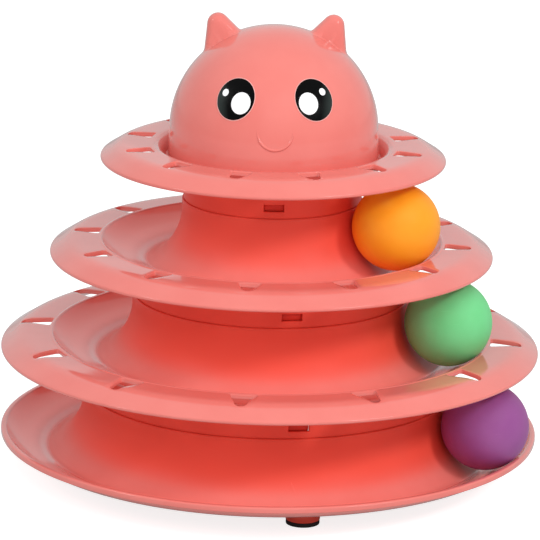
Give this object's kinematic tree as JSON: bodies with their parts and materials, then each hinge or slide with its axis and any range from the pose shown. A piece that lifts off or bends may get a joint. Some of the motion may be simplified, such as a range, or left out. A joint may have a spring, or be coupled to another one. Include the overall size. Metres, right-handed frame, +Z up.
{
  "type": "cat ball track toy",
  "caption": "Tower of stacked ring tracks, each with a ball that a cat bats round it, under a drooping perforated brim and a hollow cat head.",
  "frame": {"origin": "on the tower's axis, on the ground under the feet", "axes": "+Z up along the tower's axis, the cat's face looks along -Y, +X to the right of the viewer facing the cat"},
  "size_m": [0.2516, 0.2516, 0.2154],
  "materials": {
    "pink_plastic": "glossy",
    "eye_film": "glossy",
    "purple_plastic": "matte",
    "green_plastic": "matte",
    "orange_plastic": "matte",
    "foot_rubber": "matte"
  },
  "bodies": {
    "tower": {"base_tray": "pink_plastic", "lower_tray": "pink_plastic", "upper_tray": "pink_plastic", "top_brim": "pink_plastic", "cat_head": "pink_plastic", "left_eye": "eye_film", "right_eye": "eye_film", "foot_pad_1": "foot_rubber", "foot_pad_2": "foot_rubber", "foot_pad_3": "foot_rubber", "foot_pad_4": "foot_rubber"},
    "purple_roller": {"purple_ball": "purple_plastic"},
    "green_roller": {"green_ball": "green_plastic"},
    "orange_roller": {"orange_ball": "orange_plastic"}
  },
  "joints": [
    {"name": "purple_ball_lap", "type": "hinge", "parent": "tower", "child": "purple_roller", "pos_m": [0, 0, 0.0326], "axis": [0, 0, 1], "continuous": true},
    {"name": "green_ball_lap", "type": "hinge", "parent": "tower", "child": "green_roller", "pos_m": [0, 0, 0.0778], "axis": [0, 0, 1], "continuous": true},
    {"name": "orange_ball_lap", "type": "hinge", "parent": "tower", "child": "orange_roller", "pos_m": [0, 0, 0.123], "axis": [0, 0, 1], "continuous": true}
  ]
}
